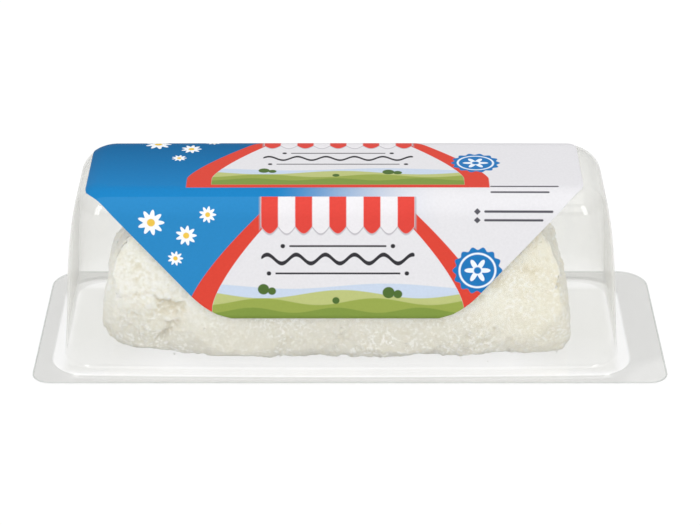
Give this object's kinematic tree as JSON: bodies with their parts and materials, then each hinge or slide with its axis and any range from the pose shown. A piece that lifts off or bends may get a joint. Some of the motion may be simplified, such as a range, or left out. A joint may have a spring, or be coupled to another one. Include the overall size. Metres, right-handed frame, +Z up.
{
  "type": "packed goat cheese log",
  "caption": "Log of fresh white goat cheese sealed in a clear thermoformed dome on a flat flange and base film, with a printed paper label folded over the dome.",
  "frame": {"origin": "middle of the base film's underside, on the surface the pack rests on", "axes": "+X along the pack to the wider strip of flange, +Y from the front to the back, +Z up"},
  "size_m": [0.16, 0.059, 0.0475],
  "materials": {
    "clear_film": "clear flexible film",
    "clear_sheet": "clear thermoformed sheet, glossy",
    "printed_paper": "satin printed paper",
    "goat_cheese": "moist, crumbly, matt"
  },
  "bodies": {
    "root": {"base_film": "clear_film", "dome": "clear_sheet", "label": "printed_paper", "cheese_log": "goat_cheese"}
  },
  "joints": []
}
